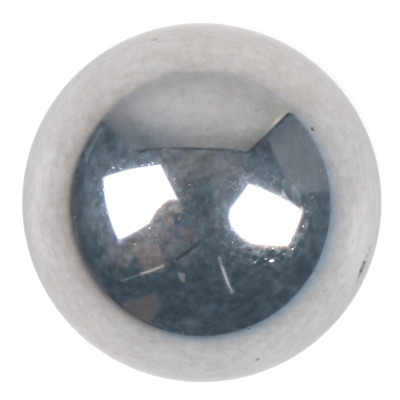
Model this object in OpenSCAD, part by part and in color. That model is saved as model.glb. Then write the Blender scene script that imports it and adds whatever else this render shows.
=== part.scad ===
/* [Ball] */
// Diameter of the ball
ball_d = 25; // [3:0.5:100]

/* [Hidden] */
// Facets round the ball's widest circle
ball_fn = 180;

// One solid ball with no core, hole or flat, centred on the origin
module steel_ball() {
    color("silver")
        sphere(d = ball_d, $fn = ball_fn);
}

steel_ball();
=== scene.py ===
import math
import random

import bpy
import numpy as np
from mathutils import Matrix, Vector, noise


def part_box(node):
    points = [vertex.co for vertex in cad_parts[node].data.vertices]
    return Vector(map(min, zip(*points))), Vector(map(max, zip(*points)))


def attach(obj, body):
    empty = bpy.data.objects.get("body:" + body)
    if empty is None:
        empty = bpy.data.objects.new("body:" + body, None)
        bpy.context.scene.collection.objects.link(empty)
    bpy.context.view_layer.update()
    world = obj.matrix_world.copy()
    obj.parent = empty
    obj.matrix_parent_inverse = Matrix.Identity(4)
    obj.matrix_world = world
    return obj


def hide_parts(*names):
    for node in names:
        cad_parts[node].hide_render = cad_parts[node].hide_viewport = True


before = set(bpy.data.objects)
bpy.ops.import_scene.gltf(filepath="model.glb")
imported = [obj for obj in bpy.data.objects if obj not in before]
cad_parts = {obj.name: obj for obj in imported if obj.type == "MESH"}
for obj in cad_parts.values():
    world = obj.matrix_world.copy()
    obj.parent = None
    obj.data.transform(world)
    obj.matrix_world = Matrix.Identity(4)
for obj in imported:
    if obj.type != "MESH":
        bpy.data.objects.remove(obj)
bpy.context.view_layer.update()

ballLow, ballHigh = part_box("steel_ball")
ballRadius = (ballHigh[2] - ballLow[2]) / 2
mm = 0.001
print("frame loaded, ball radius", round(ballRadius / mm, 3), "mm")


def towards(azimuth, elevation):
    # azimuth runs clockwise from +Y as seen from above, both angles in degrees
    a, e = math.radians(azimuth), math.radians(elevation)
    return Vector((math.sin(a) * math.cos(e), math.cos(a) * math.cos(e), math.sin(e)))


def deselectAll():
    if bpy.context.object and bpy.context.object.mode != "OBJECT":
        bpy.ops.object.mode_set(mode="OBJECT")
    bpy.ops.object.select_all(action="DESELECT")


def keepActive(name):
    made = bpy.context.object
    made.name = name
    made.data.name = name
    return made


def selectEdges(thing, wanted):
    # selects the edges whose two ends pass the test, and stays in edit mode
    bpy.ops.object.mode_set(mode="EDIT")
    bpy.ops.mesh.select_mode(type="EDGE")
    bpy.ops.mesh.select_all(action="DESELECT")
    bpy.ops.object.mode_set(mode="OBJECT")
    for edge in thing.data.edges:
        edge.select = wanted(*(thing.data.vertices[i].co for i in edge.vertices))
    bpy.ops.object.mode_set(mode="EDIT")


class Wire:
    # a socket of a shader tree, with the arithmetic that builds Math nodes
    def __init__(self, shader, socket):
        self.shader = shader
        self.socket = socket

    def math(self, operation, *values):
        return self.shader.add("ShaderNodeMath", {"operation": operation}, dict(enumerate(values)))

    def __add__(self, other):
        return self.math("ADD", self, other)

    def __radd__(self, other):
        return self.math("ADD", other, self)

    def __sub__(self, other):
        return self.math("SUBTRACT", self, other)

    def __rsub__(self, other):
        return self.math("SUBTRACT", other, self)

    def __mul__(self, other):
        return self.math("MULTIPLY", self, other)

    def __rmul__(self, other):
        return self.math("MULTIPLY", other, self)

    def __truediv__(self, other):
        return self.math("DIVIDE", self, other)

    def __pow__(self, other):
        return self.math("POWER", self, other)


class Shader:
    # one node tree, filled a node at a time
    def __init__(self, owner):
        owner.use_nodes = True
        self.owner = owner
        self.tree = owner.node_tree
        self.tree.nodes.clear()

    def add(self, kind, settings=None, inputs=None, output=0):
        node = self.tree.nodes.new(kind)
        for name, value in (settings or {}).items():
            setattr(node, name, value)
        for name, value in (inputs or {}).items():
            if isinstance(value, Wire):
                self.tree.links.new(value.socket, node.inputs[name])
            else:
                node.inputs[name].default_value = value
        return Wire(self, node.outputs[output]) if len(node.outputs) else node

    def clamp(self, value):
        return self.add("ShaderNodeClamp", None, {0: value})

    def step(self, value, low, high, first=0.0, last=1.0):
        # a smooth change from first at low to last at high
        ends = {1: low, 2: high, 3: first, 4: last}
        return self.add("ShaderNodeMapRange", {"interpolation_type": "SMOOTHSTEP"}, {0: value, **ends})

    def ramp(self, value, low, high):
        # a straight rise from 0 at low to 1 at high
        return self.add("ShaderNodeMapRange", None, {0: value, 1: low, 2: high})

    def axes(self, place):
        split = self.add("ShaderNodeSeparateXYZ", None, {0: place})
        return [Wire(self, socket) for socket in split.socket.node.outputs]

    def blend(self, amount, first, second, how="MIX"):
        settings = {"data_type": "RGBA", "blend_type": how}
        return self.add("ShaderNodeMix", settings, {0: amount, 6: self.tint(first), 7: self.tint(second)}, 2)

    def tint(self, colour):
        return colour if isinstance(colour, Wire) else (*colour, 1)

    def place(self, scale=1.0):
        # the place on a piece, in metres times scale
        seen = self.add("ShaderNodeTexCoord", output="Object")
        return self.add("ShaderNodeMapping", None, {0: seen, 3: (scale, scale, scale)})

    def measure(self, operation, *vectors):
        # the number that a vector operation gives, such as a distance
        settings = {"operation": operation}
        return self.add("ShaderNodeVectorMath", settings, dict(enumerate(vectors)), "Value")

    def noise(self, place, scale, detail, roughness):
        inputs = {"Vector": place, "Scale": scale, "Detail": detail, "Roughness": roughness}
        return self.add("ShaderNodeTexNoise", None, inputs)

    def bowls(self, place, perUnit, size, rarity):
        # one small round hollow in each cell, and the higher the rarity, the fewer are deep
        inputs = {"Vector": place, "Scale": perUnit, "Randomness": 1.0}
        gap = self.add("ShaderNodeTexVoronoi", None, inputs, "Distance")
        chance = self.add("ShaderNodeSeparateColor", None, {0: Wire(self, gap.socket.node.outputs["Color"])})
        bowl = 1 - self.clamp(gap / size) ** 2.0
        return bowl * bowl * self.step(chance, rarity, 1.0) ** 2.0

    def finish(self, surface, kind="ShaderNodeOutputMaterial"):
        self.add(kind, None, {"Surface": surface})
        return self.owner


viewSettings = {
    "distance": 1.0,         # from the ball's middle
    "lean": 3.0,             # degrees away from straight above
    "leanAzimuth": 35.0,
    "aim": (-0.00012, 0.00019, 0.0),
    "lens": 1293.6,          # mm, long enough for the ball to fill the view
    "clip": (0.01, 10),
}


def makeCamera(v):
    bpy.ops.object.camera_add()
    camera = keepActive("Camera")
    camera.data.lens = v["lens"]
    camera.data.clip_start, camera.data.clip_end = v["clip"]
    camera.location = towards(v["leanAzimuth"], 90 - v["lean"]) * v["distance"]
    look = (Vector(v["aim"]) - camera.location).normalized()
    right = look.cross(Vector((0, 1, 0))).normalized()
    camera.rotation_euler = Matrix((right, right.cross(look), -look)).transposed().to_euler()
    bpy.context.scene.camera = camera


deselectAll()
makeCamera(viewSettings)
bpy.context.scene.view_settings.view_transform = "Standard"
print("camera ready")


steelSettings = {
    "colour": (0.615, 0.595, 0.58),
    "tarnish": (0.49, 0.455, 0.43),
    "stain": (0.17, 0.12, 0.105),
    "coolHaze": (0.5, 0.56, 0.63),
    "warmHaze": (0.585, 0.55, 0.53),
    "rimTint": 0.88,         # steel mirrors a little less at a glancing angle
    "roughness": 0.07,
    "stainRoughness": 0.42,  # what a full stain adds
    "hazeRoughness": 0.28,   # the wide soft sheen of fine scratches
    # small hollows: how many to a millimetre, their size, and how rare the deep ones are
    "dimples": (3.6, 0.45, 0.3),
    "dimpleDepth": 0.001,    # mm
    "pricks": (4.0, 0.32, 0.8),
    "prickDepth": 0.007,     # mm, a few sharp ones that catch the light
    # noises: scale to a millimetre, detail and roughness, then the values where each starts and is full
    "peel": (0.9, 3.0, 0.45),           # the faint waviness left by polishing
    "peelDepth": 0.0006,     # mm
    "blotches": (0.3, 3.0, 0.6),
    "blotchEnds": (0.35, 0.7),
    "blotchShare": 0.25,
    "mottle": (1.2, 4.0, 0.75),
    "mottleEnds": (0.36, 0.64),
    "mottleShare": 0.65,
    "clumps": (2.3, 1.5, 0.5),
    "clumpEnds": (0.43, 0.74),
    "clumpShare": 0.6,
    "arcs": {"Scale": 1.1, "Detail": 1.5, "Roughness": 0.5},
    "arcEnds": (0.45, 0.74),
    "arcShare": 0.4,
    "arcsAcross": 2.5,       # how fast the arcs change with each millimetre away from a rubbed place
    "hazeTones": (1.3, 2.0, 0.6),
    "hazeToneEnds": (0.42, 0.58),
    "hazeShare": 0.66,       # how much of a hazy speck has the soft sheen
    "hazeEverywhere": 0.01,
    # azimuth, elevation and strength of the two haziest places
    "rubbed": [(94, 72, 1.0), (285, 71, 0.65)],
    "rubbedFrom": (1.5, 2.8),           # mm, the specks gather between these distances
    "rubbedMiddle": 0.35,               # and this share of them lies closer
    "rubbedReach": (3.4, 6.5),          # mm, and they thin out between these
    "rubbedBeyond": 0.15,               # to this share
    "veilReach": (1.9, 3.5),            # mm, an even veil ends between these
    "veilShare": 0.2,
}


def makeSteel(s):
    shader = Shader(bpy.data.materials.new("PolishedSteel"))
    place = shader.place(1 / mm)   # one unit is a millimetre
    stained = shader.add("ShaderNodeAttribute", {"attribute_name": "stained"}, None, "Fac")

    dimples = shader.bowls(place, *s["dimples"])
    pricks = shader.bowls(place, *s["pricks"])
    peel = shader.noise(place, *s["peel"])
    height = peel * s["peelDepth"] - dimples * s["dimpleDepth"] - pricks * s["prickDepth"]
    normal = shader.add("ShaderNodeBump", None, {"Strength": 1.0, "Distance": mm, "Height": height})

    # tarnish in soft blotches with a fine mottle over them
    blotches = shader.step(shader.noise(place, *s["blotches"]), *s["blotchEnds"])
    mottle = shader.ramp(shader.noise(place, *s["mottle"]), *s["mottleEnds"])
    tarnished = shader.clamp(blotches * s["blotchShare"] + mottle * s["mottleShare"])
    colour = shader.blend(tarnished, s["colour"], s["tarnish"])
    colour = shader.blend(stained, colour, s["stain"])
    roughness = shader.clamp(s["roughness"] + stained * s["stainRoughness"])

    # fine scratches and bloom, in soft clumps and short arcs round the rubbed places
    near = 0.0
    veil = 0.0
    gap = None
    for azimuth, elevation, strength in s["rubbed"]:
        away = shader.measure("DISTANCE", place, towards(azimuth, elevation) * ballRadius / mm)
        ring = shader.step(away, *s["rubbedFrom"], s["rubbedMiddle"] * strength, strength)
        ring = ring * shader.step(away, *s["rubbedReach"], 1.0, s["rubbedBeyond"])
        near = ring.math("MAXIMUM", ring, near)
        veil = shader.step(away, *s["veilReach"], s["veilShare"] * strength, 0.0) + veil
        gap = away.math("MINIMUM", away, gap) if gap else away
    clumps = shader.clamp(shader.ramp(shader.noise(place, *s["clumps"]), *s["clumpEnds"]))
    arcInputs = {"Vector": place, "W": gap * s["arcsAcross"], **s["arcs"]}
    arcs = shader.add("ShaderNodeTexNoise", {"noise_dimensions": "4D"}, arcInputs)
    arcs = shader.clamp(shader.ramp(arcs, *s["arcEnds"]))
    hazy = (clumps * s["clumpShare"] + arcs * s["arcShare"]) * near + veil
    hazy = shader.clamp(hazy * s["hazeShare"] + s["hazeEverywhere"]) * (1 - stained)
    tone = shader.clamp(shader.ramp(shader.noise(place, *s["hazeTones"]), *s["hazeToneEnds"]))
    hazeColour = shader.blend(tone, s["coolHaze"], s["warmHaze"])

    rim = (s["rimTint"], s["rimTint"], s["rimTint"], 1)
    metal = {"Metallic": 1.0, "Specular Tint": rim}
    plain = {"Base Color": colour, "Roughness": roughness, "Normal": normal, **metal}
    bloom = {"Base Color": hazeColour, "Roughness": s["hazeRoughness"], **metal}
    mirror = shader.add("ShaderNodeBsdfPrincipled", None, plain)
    sheen = shader.add("ShaderNodeBsdfPrincipled", None, bloom)
    return shader.finish(shader.add("ShaderNodeMixShader", None, {0: hazy, 1: mirror, 2: sheen}))


ballSettings = {
    "fineness": 7,           # icosphere subdivisions
    "finer": [(0.28, 2), (0.08, 1)],    # mm round each mark, and the cuts made there
    "deepest": 0.03,         # mm, what a mark with a sink of 1 sinks
    "ragged": 0.35,          # how uneven the outline of a mark is
    "raggedPerMm": 6,
    "hollowing": 1.5,        # how steeply a mark's sides fall
    "stainSpread": 0.6,      # how far a stain reaches towards the mark's outline
    "seed": 23,
    "loosePits": 70,         # scattered over the whole ball, apart from its two poles
    "looseReach": 0.97,
    "looseRadius": (0.05, 0.13),        # mm
    "looseSink": (0.08, 0.3),
    "looseOval": (0.7, 1.3),
    # azimuth, elevation, half width and half height in mm, sink and stain from 0 to 1
    "pits": [
        (344.7, 18.2, 0.17, 0.25, 0.5, 0.6),
        (55.4, 40.2, 0.2, 0.2, 0.75, 0.85),
        (159.3, 24.5, 0.2, 0.26, 0.6, 0.7),
        (123.9, 33.6, 0.12, 0.14, 0.3, 0.3),
    ],
    # the nick is a chain of short gouges
    "nick": [
        (104.5, 14.0, 0.26, 0.5, 0.35, 0.3),
        (107.2, 14.8, 0.28, 0.55, 0.6, 0.45),
        (109.5, 15.2, 0.28, 0.6, 1.0, 0.95),
        (110.9, 15.3, 0.28, 0.6, 0.8, 0.8),
        (112.3, 15.3, 0.3, 0.6, 1.0, 1.0),
        (114.0, 15.0, 0.3, 0.6, 0.8, 0.6),
        (116.0, 14.3, 0.3, 0.55, 0.5, 0.4),
    ],
    # small bright dents that still shine
    "dents": [
        (123.0, 60.4, 0.31, 0.3, 0.9, 0.0),
        (130.0, 64.8, 0.3, 0.24, 0.55, 0.0),
        (277.5, 53.6, 0.24, 0.24, 0.45, 0.0),
        (250.6, 84.0, 0.22, 0.22, 0.45, 0.0),
        (175.8, 86.5, 0.24, 0.2, 0.5, 0.0),
        (83.6, 50.8, 0.24, 0.24, 0.45, 0.0),
        (86.6, 50.2, 0.22, 0.22, 0.4, 0.0),
        (331.3, 68.4, 0.24, 0.2, 0.4, 0.0),
    ],
}


def wornPlaces(b):
    marks = b["pits"] + b["nick"] + b["dents"]
    places = [(towards(*mark[:2]), *mark[2:]) for mark in marks]
    draw = random.Random(b["seed"])
    for _ in range(b["loosePits"]):
        up = draw.uniform(-b["looseReach"], b["looseReach"])
        turn = draw.uniform(0, 2 * math.pi)
        side = math.sqrt(1 - up * up)
        spot = Vector((side * math.sin(turn), side * math.cos(turn), up))
        radius = draw.uniform(*b["looseRadius"])
        sink = draw.uniform(*b["looseSink"])
        places.append((spot, radius, radius * draw.uniform(*b["looseOval"]), sink, sink))
    return places


def readVectors(items, name):
    values = np.empty(len(items) * 3)
    items.foreach_get(name, values)
    return values.reshape(-1, 3)


def markShare(points, spot, halfWidth, halfHeight):
    # how far points lie from a mark's middle, as a share of its size
    across = Vector((0, 0, 1)).cross(spot).normalized()
    offset = points - np.array(spot) * ballRadius
    u = offset @ np.array(across) / (halfWidth * mm)
    v = offset @ np.array(spot.cross(across)) / (halfHeight * mm)
    behind = (points @ np.array(spot)) < 0
    return np.where(behind, np.inf, np.hypot(u, v))


def selectNear(ball, places, reach):
    # selects the faces up to reach millimetres outside a mark, and stays in edit mode
    centres = readVectors(ball.data.polygons, "center")
    near = np.zeros(len(centres), bool)
    for spot, halfWidth, halfHeight, _, _ in places:
        near |= markShare(centres, spot, halfWidth + reach, halfHeight + reach) < 1
    bpy.ops.object.mode_set(mode="EDIT")
    bpy.ops.mesh.select_mode(type="FACE")
    bpy.ops.mesh.select_all(action="DESELECT")
    bpy.ops.object.mode_set(mode="OBJECT")
    ball.data.polygons.foreach_set("select", near)
    bpy.ops.object.mode_set(mode="EDIT")


def roundAgain(ball):
    # brings the new vertices out to the ball's surface
    bpy.ops.object.mode_set(mode="OBJECT")
    cast = ball.modifiers.new("Round", "CAST")
    cast.cast_type = "SPHERE"
    cast.factor = 1.0
    cast.use_radius_as_size = False
    cast.size = ballRadius
    bpy.ops.object.modifier_apply(modifier=cast.name)


def sinkMarks(ball, places, b):
    points = readVectors(ball.data.vertices, "co")
    sunk = np.zeros(len(points))
    stained = np.zeros(len(points))
    for spot, halfWidth, halfHeight, sink, stain in places:
        gap = markShare(points, spot, halfWidth, halfHeight)
        for i in np.nonzero(gap < 1 + b["ragged"])[0]:
            outline = 1 + b["ragged"] * noise.noise(Vector(points[i]) / mm * b["raggedPerMm"])
            if gap[i] < outline:
                bowl = (1 - (gap[i] / outline) ** 2) ** b["hollowing"]
                sunk[i] = max(sunk[i], sink * bowl)
                stained[i] = max(stained[i], stain * bowl ** b["stainSpread"])
    group = ball.vertex_groups.new(name="sunk")
    for i in np.nonzero(sunk)[0]:
        group.add([int(i)], float(sunk[i]), "REPLACE")
    press = ball.modifiers.new("Press", "DISPLACE")
    press.vertex_group = group.name
    press.mid_level = 0.0
    press.strength = -b["deepest"] * mm
    bpy.ops.object.modifier_apply(modifier=press.name)
    shade = ball.data.attributes.new("stained", "FLOAT", "POINT")
    shade.data.foreach_set("value", stained.astype(np.float32))
    return int(np.count_nonzero(sunk))


def makeBall(b, steel):
    deselectAll()
    bpy.ops.mesh.primitive_ico_sphere_add(subdivisions=b["fineness"], radius=ballRadius)
    ball = keepActive("SteelBall")
    places = wornPlaces(b)
    for reach, cuts in b["finer"]:
        selectNear(ball, places, reach)
        bpy.ops.mesh.subdivide(number_cuts=cuts)
        roundAgain(ball)
    marked = sinkMarks(ball, places, b)
    bpy.ops.object.mode_set(mode="EDIT")
    bpy.ops.mesh.select_all(action="SELECT")
    bpy.ops.mesh.quads_convert_to_tris()
    bpy.ops.object.mode_set(mode="OBJECT")
    bpy.ops.object.shade_smooth()
    ball.data.materials.append(steel)
    print("ball ready,", len(ball.data.polygons), "faces,", marked, "sunk points")
    return ball


ball = makeBall(ballSettings, makeSteel(steelSettings))
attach(ball, "root")
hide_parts("steel_ball")


sheetSettings = {
    "corners": [(-0.85, -0.93), (0.45, -0.18), (-0.85, 0.5), (0.45, 0.5)],
    "colour": (0.885, 0.834, 0.802),
    "frontColour": (0.868, 0.836, 0.822),    # to the front right of the ball
    "frontWay": (0.77, -0.64),               # the way there, along +X and +Y
    "frontEnds": (0.0, 0.02),
    # painted shade: it turns these darker colours over these distances from the ball
    "rightShadeColour": (0.69, 0.66, 0.64),
    "rightEnds": (0.02, 0.15),
    "backShadeColour": (0.53, 0.511, 0.5),
    "backEnds": (0.038, 0.2),
    "warmShadedEdge": (0.76, 0.64, 0.55),          # the left-hand edge
    "warmEnds": (0.035, 0.2),
    "coolShadedEdge": (0.36, 0.59, 0.78),          # the right-hand and front edges
    "coolEnds": (0.05, 0.36),
    "coolFrontSlant": 0.6,
    "coolFrontEnds": (0.05, 0.29),
    "coolFrontSide": (-0.45, -0.05),         # from left to right, where the front edge turns cool
    "roughness": 0.25,
    "specular": 0.75,
    "whiteStrength": 1.12,
    "whiteShare": (0.85, 1.0),     # how much of what the camera sees is plain white, near and far
    "whiteEnds": (0.03, 0.25),
    "mirroredShare": (0.2, 0.06),  # the same for what the steel mirrors
    "mirroredEnds": (0.12, 0.45),
    "shadeReach": 0.0055,          # the soft shade round the foot of the ball
    "shadeEnds": (0.03, 0.06),
}


def makeSheet(s):
    # a white sheet under the ball, with painted shade in warm and cool tints towards its edges
    deselectAll()
    bpy.ops.mesh.primitive_plane_add(size=1)
    sheet = keepActive("WhiteSheet")
    for vertex, corner in zip(sheet.data.vertices, s["corners"]):
        vertex.co = (*corner, -ballRadius)

    shader = Shader(bpy.data.materials.new("WhitePaper"))
    far = shader.measure("LENGTH", shader.place())
    aside, back, _ = shader.axes(shader.place())
    frontAside, frontBack = s["frontWay"]
    front = shader.step(aside * frontAside + back * frontBack, *s["frontEnds"])
    colour = shader.blend(front, s["colour"], s["frontColour"])
    # painted shade, darker towards the right-hand side and the back
    colour = shader.blend(shader.ramp(aside, *s["rightEnds"]), colour, s["rightShadeColour"])
    colour = shader.blend(shader.ramp(back, *s["backEnds"]), colour, s["backShadeColour"])
    # painted shade in a cool tint towards the right-hand and front edges, and in a warm tint towards the
    # left-hand edge
    coolFront = shader.step(aside * s["coolFrontSlant"] - back, *s["coolFrontEnds"])
    coolFront = coolFront * shader.step(aside, *s["coolFrontSide"])
    cool = shader.clamp(shader.step(aside, *s["coolEnds"]) + coolFront)
    colour = shader.blend(cool, colour, s["coolShadedEdge"])
    colour = shader.blend(shader.step(0 - aside, *s["warmEnds"]), colour, s["warmShadedEdge"])
    paper = {"Base Color": colour, "Roughness": s["roughness"], "Specular IOR Level": s["specular"]}
    lit = shader.add("ShaderNodeBsdfPrincipled", None, paper)

    shade = shader.add("ShaderNodeAmbientOcclusion", {"samples": 8}, {"Distance": s["shadeReach"]})
    shade = shader.blend(shader.step(far, *s["shadeEnds"]), shade, (1, 1, 1))
    white = shader.add("ShaderNodeEmission", None, {"Color": shade, "Strength": s["whiteStrength"]})
    seen = shader.add("ShaderNodeLightPath", output="Is Camera Ray")
    seen = seen * shader.step(far, *s["whiteEnds"], *s["whiteShare"])
    mirrored = shader.add("ShaderNodeLightPath", output="Is Glossy Ray")
    mirrored = mirrored * shader.step(far, *s["mirroredEnds"], *s["mirroredShare"])
    surface = shader.add("ShaderNodeMixShader", None, {0: seen + mirrored, 1: lit, 2: white})
    sheet.data.materials.append(shader.finish(surface))


makeSheet(sheetSettings)
print("sheet ready")


fillSettings = {
    "height": 1.5,
    "size": 1.6,             # across
    "watts": 9.0,
}


def makeFillLight(f):
    # a wide overhead fill that shows in no reflection
    bpy.ops.object.light_add(type="AREA", location=(0, 0, f["height"]))
    lamp = keepActive("FillLight")
    lamp.data.shape = "DISK"
    lamp.data.size = f["size"]
    lamp.data.energy = f["watts"]
    lamp.visible_glossy = False
    lamp.visible_camera = False


makeFillLight(fillSettings)
print("fill light ready")


def cornerPanel(name, corners, material):
    # a flat panel through corners given in metres, its front towards the ball
    deselectAll()
    bpy.ops.mesh.primitive_circle_add(vertices=len(corners), fill_type="NGON")
    panel = keepActive(name)
    for vertex, corner in zip(panel.data.vertices, corners):
        vertex.co = corner
    face = panel.data.polygons[0]
    if face.normal.dot(face.center) > 0:
        bpy.ops.object.mode_set(mode="EDIT")
        bpy.ops.mesh.select_all(action="SELECT")
        bpy.ops.mesh.flip_normals()
        bpy.ops.object.mode_set(mode="OBJECT")
    panel.data.materials.append(material)
    panel.visible_camera = False
    return panel


def frontLight(shader, colour, strength=1.0):
    # light from the front of a panel only
    behind = shader.add("ShaderNodeNewGeometry", output="Backfacing")
    inputs = {"Color": colour, "Strength": (1 - behind) * strength}
    glow = shader.finish(shader.add("ShaderNodeEmission", None, inputs))
    glow.cycles.emission_sampling = "FRONT"
    return glow


def glowingPanel(name, corners, colour):
    shader = Shader(bpy.data.materials.new(name + "Face"))
    cornerPanel(name, corners, frontLight(shader, (*colour, 1)))


softBoxSettings = {
    "leftCloth": (4.0, 4.15, 4.35),
    "rightCloth": (4.35, 4.5, 4.7),
    "border": 0.03,          # the width over which the cloth dims towards its edge
    "borderLight": 0.5,      # how bright its outermost edge still is
    "clothEnds": (0.5, 0.9), # where the cloth's colour takes over, from 0 at its edge to 1 inside
    "coolBorder": (0.16, 0.37, 0.85),
    "warmBorder": (0.8, 0.61, 0.5),
    "borderTurn": 60,        # degrees, which sides are the warm ones
    # corners in metres, with a notch where something hides the lower right of the left box
    "left": [(-0.435, 0.125, 0.175), (-0.28, 0.315, 0.565), (-0.12, 0.03, 0.595), (-0.17, 0.025, 0.515),
             (-0.2, -0.025, 0.435), (-0.215, -0.09, 0.365), (-0.235, -0.11, 0.315), (-0.295, -0.15, 0.195)],
    "right": [(0.26, 0.14, 0.42), (0.48, -0.02, 0.165), (0.395, -0.2, 0.2), (0.24, -0.195, 0.35),
              (0.195, -0.165, 0.405), (0.16, -0.125, 0.45), (0.145, -0.065, 0.475), (0.155, -0.01, 0.485)],
}


def clothGlow(name, cloth, s):
    shader = Shader(bpy.data.materials.new(name))
    inside = shader.add("ShaderNodeAttribute", {"attribute_name": "inside"}, None, "Fac")
    warm = shader.add("ShaderNodeAttribute", {"attribute_name": "warm"}, None, "Fac")
    colour = shader.blend(warm, s["coolBorder"], s["warmBorder"])
    low, high = s["clothEnds"]
    colour = shader.blend(shader.step(inside, low, high), colour, cloth)
    return frontLight(shader, colour, shader.step(inside, 0.0, low, s["borderLight"], 1.0))


def dimBorder(panel, s):
    # a border whose sides are cool at the upper left and warm at the lower right
    middle = Vector(panel.data.polygons[0].center).normalized()
    deselectAll()
    panel.select_set(True)
    bpy.context.view_layer.objects.active = panel
    bpy.ops.object.mode_set(mode="EDIT")
    bpy.ops.mesh.select_all(action="SELECT")
    bpy.ops.mesh.inset(thickness=s["border"])
    bpy.ops.object.mode_set(mode="OBJECT")
    cloth = max(panel.data.polygons, key=lambda face: len(face.vertices))
    inside = panel.data.attributes.new("inside", "FLOAT", "POINT")
    for vertex in panel.data.vertices:
        inside.data[vertex.index].value = float(vertex.index in cloth.vertices)
    warm = panel.data.attributes.new("warm", "FLOAT", "FACE")
    for face in panel.data.polygons:
        lean = face.center.normalized() - middle
        turn = math.atan2(-lean.y, lean.x) + math.radians(s["borderTurn"])
        warm.data[face.index].value = 0.5 + 0.5 * math.sin(turn)


def makeSoftBoxes(s):
    for side in ("left", "right"):
        cloth = clothGlow("SoftBoxCloth_" + side, s[side + "Cloth"], s)
        dimBorder(cornerPanel("SoftBox_" + side, s[side], cloth), s)


makeSoftBoxes(softBoxSettings)
print("soft boxes ready")


boardSettings = {
    "left": -0.35,
    "right": 0.287,
    "lean": 0.16,            # how far the right-hand edge bows in, per metre of height squared
    "y": 0.29,
    "height": 0.397,
    "bow": 0.53,             # how the top edge falls away from its middle, per metre
    "middle": 0.05,
    "foot": 0.035,           # how far the curved foot runs forward
    "bend": 0.03,
    "bendSegments": 14,
    "lift": 0.2 * mm,        # above the sheet
    "cutsAcross": 15,
    "cutsUp": 7,
    "roughness": 0.7,
    "specular": 0.2,
    # a change is given as where it starts and ends, then the values there
    "colour": (0.965, 0.918, 0.875),
    # painted light colour: cool and warm tints where bluish room light and warm lamp light fall
    "coolSide": (0.905, 0.92, 0.935),
    "coolSideEnds": (-0.16, 0.05),
    "coolEnd": (0.8, 0.93, 1.0),          # the far left, more of it higher up
    "coolEndSlant": 0.5,
    "coolEndChange": (-0.42, -0.25, 1.0, 0.0),
    "warmSide": (0.97, 0.9, 0.79),
    "warmSideEnds": (0.18, 0.27),
    # how much light falls on it, where shadeColour has none
    "shadeColour": (0.105, 0.126, 0.143),
    "cornerSlant": 0.6,                   # the upper left corner is the dimmest
    "cornerEnds": (-0.47, -0.13),
    "topChange": (0.09, 0.34, 1.0, 0.43),
    "rightChange": (0.14, 0.26, 1.0, 0.95),
    "upperRight": 0.23,                   # what the right side loses above the fold
    "upperRightEnds": (0.16, 0.27),
    "upperRightHeight": (0.0, 0.15),
    "foldChange": (-0.014, 0.035, 0.62, 1.0),
    "foldRightChange": (0.0, 0.17, 0.0, 0.14),
    "lowChange": (0.0, 0.2, 0.9, 1.0),
    "leftRest": (-0.32, -0.235, 0.13, 0.0),
    # the dark rim along the top and the right-hand edge
    "topRim": 0.016,
    "sideRim": 0.01,
    "rimColour": (0.04, 0.05, 0.06),
    "rimBlend": 2 * mm,
    # light caught just inside the right-hand rim, at distances from it and heights
    "caughtColour": (0.7, 0.58, 0.49),
    "caughtFrom": (21 * mm, 13 * mm),
    "caughtTo": (9 * mm, 3 * mm),
    "caughtLow": (0.02, 0.1, 0.25, 1.0),
    "caughtHigh": (0.09, 0.17, 1.0, 0.0),
}


def boardFace(b):
    shader = Shader(bpy.data.materials.new("WhiteBoard"))
    x, _, z = shader.axes(shader.place())
    # painted light colour: cool at the left and warm at the right
    colour = shader.blend(shader.step(x, *b["coolSideEnds"]), b["coolSide"], b["colour"])
    leftEnd = shader.step(x - z * b["coolEndSlant"], *b["coolEndChange"])
    colour = shader.blend(leftEnd, colour, b["coolEnd"])
    colour = shader.blend(shader.step(x, *b["warmSideEnds"]), colour, b["warmSide"])

    # dimmer towards the upper left corner, the top edge, the right side and the fold
    level = z + (x - b["middle"]) ** 2.0 * b["bow"]
    lit = shader.step(x - shader.clamp(z) * b["cornerSlant"], *b["cornerEnds"])
    lit = lit * shader.step(level, *b["topChange"]) * shader.step(x, *b["rightChange"])
    upperRight = shader.step(x, *b["upperRightEnds"]) * shader.step(z, *b["upperRightHeight"])
    lit = lit * (1 - upperRight * b["upperRight"])
    fold = shader.step(z, *b["foldChange"]) + shader.step(x, *b["foldRightChange"])
    lit = lit * shader.clamp(fold) * shader.step(z, *b["lowChange"])
    colour = shader.blend(lit + shader.step(x, *b["leftRest"]), b["shadeColour"], colour)

    # the rim, which bows in with the right-hand edge
    top = b["height"] - b["topRim"]
    side = b["right"] - b["sideRim"]
    out = x + z * z * b["lean"]
    rim = shader.step(level, top - b["rimBlend"], top) + shader.step(out, side - b["rimBlend"], side)
    colour = shader.blend(shader.clamp(rim), colour, b["rimColour"])
    caught = shader.step(out, *(side - inward for inward in b["caughtFrom"]))
    caught = caught * shader.step(out, *(side - inward for inward in b["caughtTo"]), 1.0, 0.0)
    caught = caught * shader.step(z, *b["caughtLow"]) * shader.step(z, *b["caughtHigh"])
    caught = shader.blend(caught, (0, 0, 0), b["caughtColour"])
    face = {"Base Color": colour, "Roughness": b["roughness"], "Specular IOR Level": b["specular"],
            "Emission Color": caught, "Emission Strength": 1.0}
    return shader.finish(shader.add("ShaderNodeBsdfPrincipled", None, face))


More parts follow.
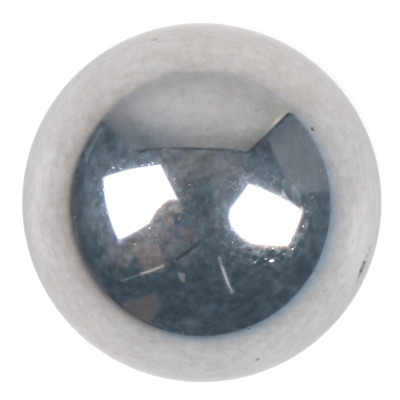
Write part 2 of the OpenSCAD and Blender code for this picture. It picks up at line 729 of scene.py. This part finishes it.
def makeBackBoard(b):
    # an upright white board whose foot curves forward onto the sheet
    deselectAll()
    floor = -ballRadius + b["lift"]
    near = 0.01              # vertices closer than this to a line lie on it
    bpy.ops.mesh.primitive_plane_add(size=1)
    board = keepActive("BackBoard")
    corners = ((b["left"], b["y"] - b["foot"]), (b["right"], b["y"] - b["foot"]),
               (b["left"], b["y"]), (b["right"], b["y"]))
    for vertex, (x, y) in zip(board.data.vertices, corners):
        vertex.co = (x, y, floor)
    # the back edge is drawn up, and the fold rounded
    selectEdges(board, lambda first, last: min(first.y, last.y) > b["y"] - near)
    bpy.ops.mesh.extrude_region_move(TRANSFORM_OT_translate={"value": (0, 0, b["height"] - floor)})
    selectEdges(board, lambda first, last: min(first.y, last.y) > b["y"] - near
                and max(first.z, last.z) < floor + near)
    bpy.ops.mesh.bevel(offset=b["bend"], segments=b["bendSegments"], affect="EDGES")
    # cuts across the long edges let the top and the right-hand side bow
    long = 0.1
    selectEdges(board, lambda first, last: abs(first.x - last.x) > long)
    bpy.ops.mesh.subdivide(number_cuts=b["cutsAcross"])
    selectEdges(board, lambda first, last: abs(first.z - last.z) > long)
    bpy.ops.mesh.subdivide(number_cuts=b["cutsUp"])
    bpy.ops.object.mode_set(mode="OBJECT")
    top = max(vertex.co.z for vertex in board.data.vertices)
    for vertex in board.data.vertices:
        if vertex.co.z > top - mm:
            vertex.co.z = b["height"] - b["bow"] * (vertex.co.x - b["middle"]) ** 2
        if vertex.co.x > b["right"] - mm:
            vertex.co.x -= b["lean"] * vertex.co.z ** 2
    bpy.ops.object.shade_smooth()
    board.data.materials.append(boardFace(b))
    board.visible_camera = False


makeBackBoard(boardSettings)
print("back board ready")


greyCardSettings = {
    "azimuth": 65,
    "distance": 0.55,
    "halfWidth": 0.19,
    "height": 0.325,
    "lowEnd": 0.288,         # its height at the left-hand end
    "lowShare": 0.5,         # how much of its left half slopes down to there
    "colour": (0.275, 0.33, 0.39),
    "shadedEndColour": (0.2, 0.25, 0.31),     # at its left-hand end
    "shadedEndWidth": 0.1,
}


def makeGreyCard(g):
    # an upright grey card beyond the sheet's right-hand side, glowing with painted light in the colour of a
    # lit card
    out = towards(g["azimuth"], 0) * g["distance"]
    right = towards(g["azimuth"] + 90, 0)
    along = right * g["halfWidth"]
    foot, head, low = (Vector((0, 0, high)) for high in (-ballRadius, g["height"], g["lowEnd"]))
    corners = (out - along + foot, out + along + foot, out + along + head,
               out - along * g["lowShare"] + head, out - along + low)
    shader = Shader(bpy.data.materials.new("GreyCardFace"))
    aside = shader.measure("DOT_PRODUCT", shader.place(), right)
    left = -g["halfWidth"]
    # painted shade towards the left-hand end
    colour = shader.blend(shader.step(aside, left, left + g["shadedEndWidth"]), g["shadedEndColour"], g["colour"])
    face = shader.finish(shader.add("ShaderNodeEmission", None, {"Color": colour, "Strength": 1.0}))
    cornerPanel("GreyCard", corners, face)


makeGreyCard(greyCardSettings)
print("grey card ready")


sideSettings = {
    "distance": 0.9,
    # colour, then the azimuth and elevation of each corner, as the ball sees it
    "pieces": {
        "PaleRail": ((0.26, 0.33, 0.41),
                     [(290, 3.8), (298, 3.2), (307, 2.4), (307, 4.6), (298, 5.8), (290, 6.6)]),
        "BrownCard": ((0.17, 0.177, 0.205),
                      [(206.6, 27), (202, 12), (203, 0), (214, -1), (219, 3), (216, 10)]),
        "PaleClip": ((0.34, 0.38, 0.42), [(198.8, 45), (192.2, 46), (191.2, 39), (194.5, 40)]),
    },
}


def makeSidePieces(s):
    # plain flats and rails that stand round the sheet, glowing with painted light in the colours they show
    # when lit
    for name, (colour, corners) in s["pieces"].items():
        glowingPanel(name, [towards(*corner) * s["distance"] for corner in corners], colour)


makeSidePieces(sideSettings)
print("side pieces ready")


standSettings = {
    "distance": 0.5,
    # azimuth and elevation of both ends, width in metres, colour
    "legs": [
        ((178.5, 68), (204, 52.5), 0.015, (0.045, 0.065, 0.085)),
        ((178, 65), (194.5, 56), 0.006, (0.3, 0.36, 0.42)),
        ((211, 45.5), (220.5, 31.5), 0.0085, (0.95, 0.97, 1.0)),
        ((220.5, 31.5), (226, 17), 0.006, (0.3, 0.36, 0.43)),
        ((158.9, 56), (159.6, 49), 0.008, (0.75, 0.85, 0.92)),
        ((159.6, 49), (160.2, 36), 0.01, (1.15, 1.22, 1.32)),
        ((160.2, 36), (160, 28.5), 0.009, (0.75, 0.82, 0.9)),
    ],
}


def makeStand(s):
    # the thin legs of a lamp stand, glowing with painted light: the pale strips are painted highlights along
    # the legs, the dark one their painted shadow side
    for number, (first, last, width, colour) in enumerate(s["legs"]):
        a, b = (towards(*end) * s["distance"] for end in (first, last))
        side = (b - a).cross(a + b).normalized() * width / 2
        glowingPanel("StandLeg_%d" % number, (a - side, b - side, b + side, a + side), colour)


makeStand(standSettings)
print("lamp stand ready")


roomSettings = {
    "radius": 2.0,
    "fineness": 4,           # icosphere subdivisions
    # heights and distances are shares of the radius, and noises are scale, detail and roughness
    "dark": (0.085, 0.13, 0.172),
    "light": (0.185, 0.255, 0.33),
    "lightAhead": (-0.9, 0.6),
    "folds": (5.0, 6.0, 0.75),          # soft upright streaks, as folds of a hanging cloth
    "foldStretch": 0.35,
    "foldDepth": 1.6,
    "darkFloor": (0.08, 0.2, 0.6, 0.0),      # the left-hand floor, by height
    "darkFloorSide": (-0.9, -0.5, 1.0, 0.0),
    "ceiling": (0.27, 0.305, 0.34),
    "ceilingHeight": (0.66, 0.88),
    "ceilingAhead": (0.05, 0.5),
    "floor": (0.155, 0.17, 0.19),            # a paler strip at the foot of the left wall
    "floorHeight": (0.0, 0.09, 1.0, 0.0),
    "floorSide": (-0.9, -0.6, 1.0, 0.0),
    "floorAhead": (0.0, 0.3, 1.0, 0.0),
    "speckles": (10.0, 4.0, 0.75),
    "speckleChange": (0.25, 0.75, 0.6, 1.4),
    # soft patches with ragged outlines: azimuth, elevation, size, strength, colour
    "patchInner": 0.35,      # the share of its size over which a patch is full
    "patchOuter": 0.95,
    "ragged": (7.0, 4.0, 0.65),
    "raggedDepth": 2.2,
    "patches": [
        (236, 50, 0.34, 0.85, (0.4, 0.385, 0.4)),
        (222, 44, 0.22, 0.6, (0.32, 0.27, 0.27)),
        (206, 60, 0.26, 0.6, (0.26, 0.3, 0.36)),
        (240, 28, 0.24, 0.6, (0.3, 0.33, 0.36)),
        (214, 24, 0.2, 0.5, (0.072, 0.11, 0.14)),
        (136, 14, 0.12, 0.4, (0.2, 0.27, 0.3)),
        (184, 7, 0.15, 0.6, (0.125, 0.185, 0.24)),
        (44, 35, 0.14, 0.9, (0.085, 0.125, 0.165)),
        (54, 34, 0.13, 0.85, (0.085, 0.13, 0.175)),
        (47, 28, 0.12, 0.9, (0.1, 0.14, 0.175)),
        (12, 73, 0.09, 0.7, (0.1, 0.14, 0.17)),
        (350, 86, 0.22, 0.85, (0.1, 0.145, 0.175)),
        (328, 72, 0.1, 0.6, (0.2, 0.205, 0.22)),
        (118, 81, 0.09, 0.75, (0.085, 0.13, 0.16)),
        (172, 79, 0.22, 0.8, (0.125, 0.165, 0.2)),
        (254, 67, 0.15, 0.8, (0.44, 0.37, 0.375)),
        (264, 75, 0.1, 0.8, (0.54, 0.48, 0.47)),
        (200, 71, 0.14, 0.85, (0.25, 0.26, 0.3)),
        (262, 25, 0.34, 0.6, (0.24, 0.33, 0.41)),
        (306, 14, 0.16, 0.6, (0.068, 0.115, 0.15)),
    ],
}


def makeRoom(r):
    # a dim shell that only the reflections see
    deselectAll()
    bpy.ops.mesh.primitive_ico_sphere_add(subdivisions=r["fineness"], radius=r["radius"])
    room = keepActive("DimRoom")
    bpy.ops.object.shade_smooth()
    shader = Shader(bpy.data.materials.new("DimRoomWall"))
    place = shader.place(1 / r["radius"])
    aside, ahead, high = shader.axes(place)
    upright = shader.add("ShaderNodeMapping", None, {0: place, 3: (1, 1, r["foldStretch"])})
    folds = (shader.noise(upright, *r["folds"]) - 0.5) * r["foldDepth"]
    darkFloor = shader.step(high, *r["darkFloor"]) * shader.step(aside, *r["darkFloorSide"])
    tone = shader.clamp(shader.step(ahead, *r["lightAhead"]) + folds - darkFloor)
    colour = shader.blend(tone, r["dark"], r["light"])
    above = shader.step(high, *r["ceilingHeight"]) * shader.step(ahead, *r["ceilingAhead"])
    colour = shader.blend(above, colour, r["ceiling"])
    strip = shader.step(high, *r["floorHeight"]) * shader.step(aside, *r["floorSide"])
    colour = shader.blend(strip * shader.step(ahead, *r["floorAhead"]), colour, r["floor"])
    ragged = shader.noise(place, *r["ragged"]) - 0.5
    for azimuth, elevation, size, strength, tint in r["patches"]:
        gap = shader.measure("DISTANCE", place, towards(azimuth, elevation))
        gap = gap + ragged * (size * r["raggedDepth"])
        ends = (size * r["patchInner"], size * r["patchOuter"])
        colour = shader.blend(shader.step(gap, *ends, strength, 0.0), colour, tint)
    speckles = shader.step(shader.noise(place, *r["speckles"]), *r["speckleChange"])
    colour = shader.blend(1.0, colour, speckles, "MULTIPLY")
    wall = shader.finish(shader.add("ShaderNodeEmission", None, {"Color": colour, "Strength": 1.0}))
    wall.cycles.emission_sampling = "NONE"
    room.data.materials.append(wall)
    room.visible_camera = False


makeRoom(roomSettings)
print("room ready")


backdropSettings = {
    "colour": (1, 1, 1),
    "strength": 1.0,
}


def makeBackdrop(b):
    # plain white beyond everything
    world = bpy.data.worlds.new("World")
    bpy.context.scene.world = world
    shader = Shader(world)
    inputs = {"Color": (*b["colour"], 1), "Strength": b["strength"]}
    shader.finish(shader.add("ShaderNodeBackground", None, inputs), "ShaderNodeOutputWorld")


makeBackdrop(backdropSettings)
print("backdrop ready")
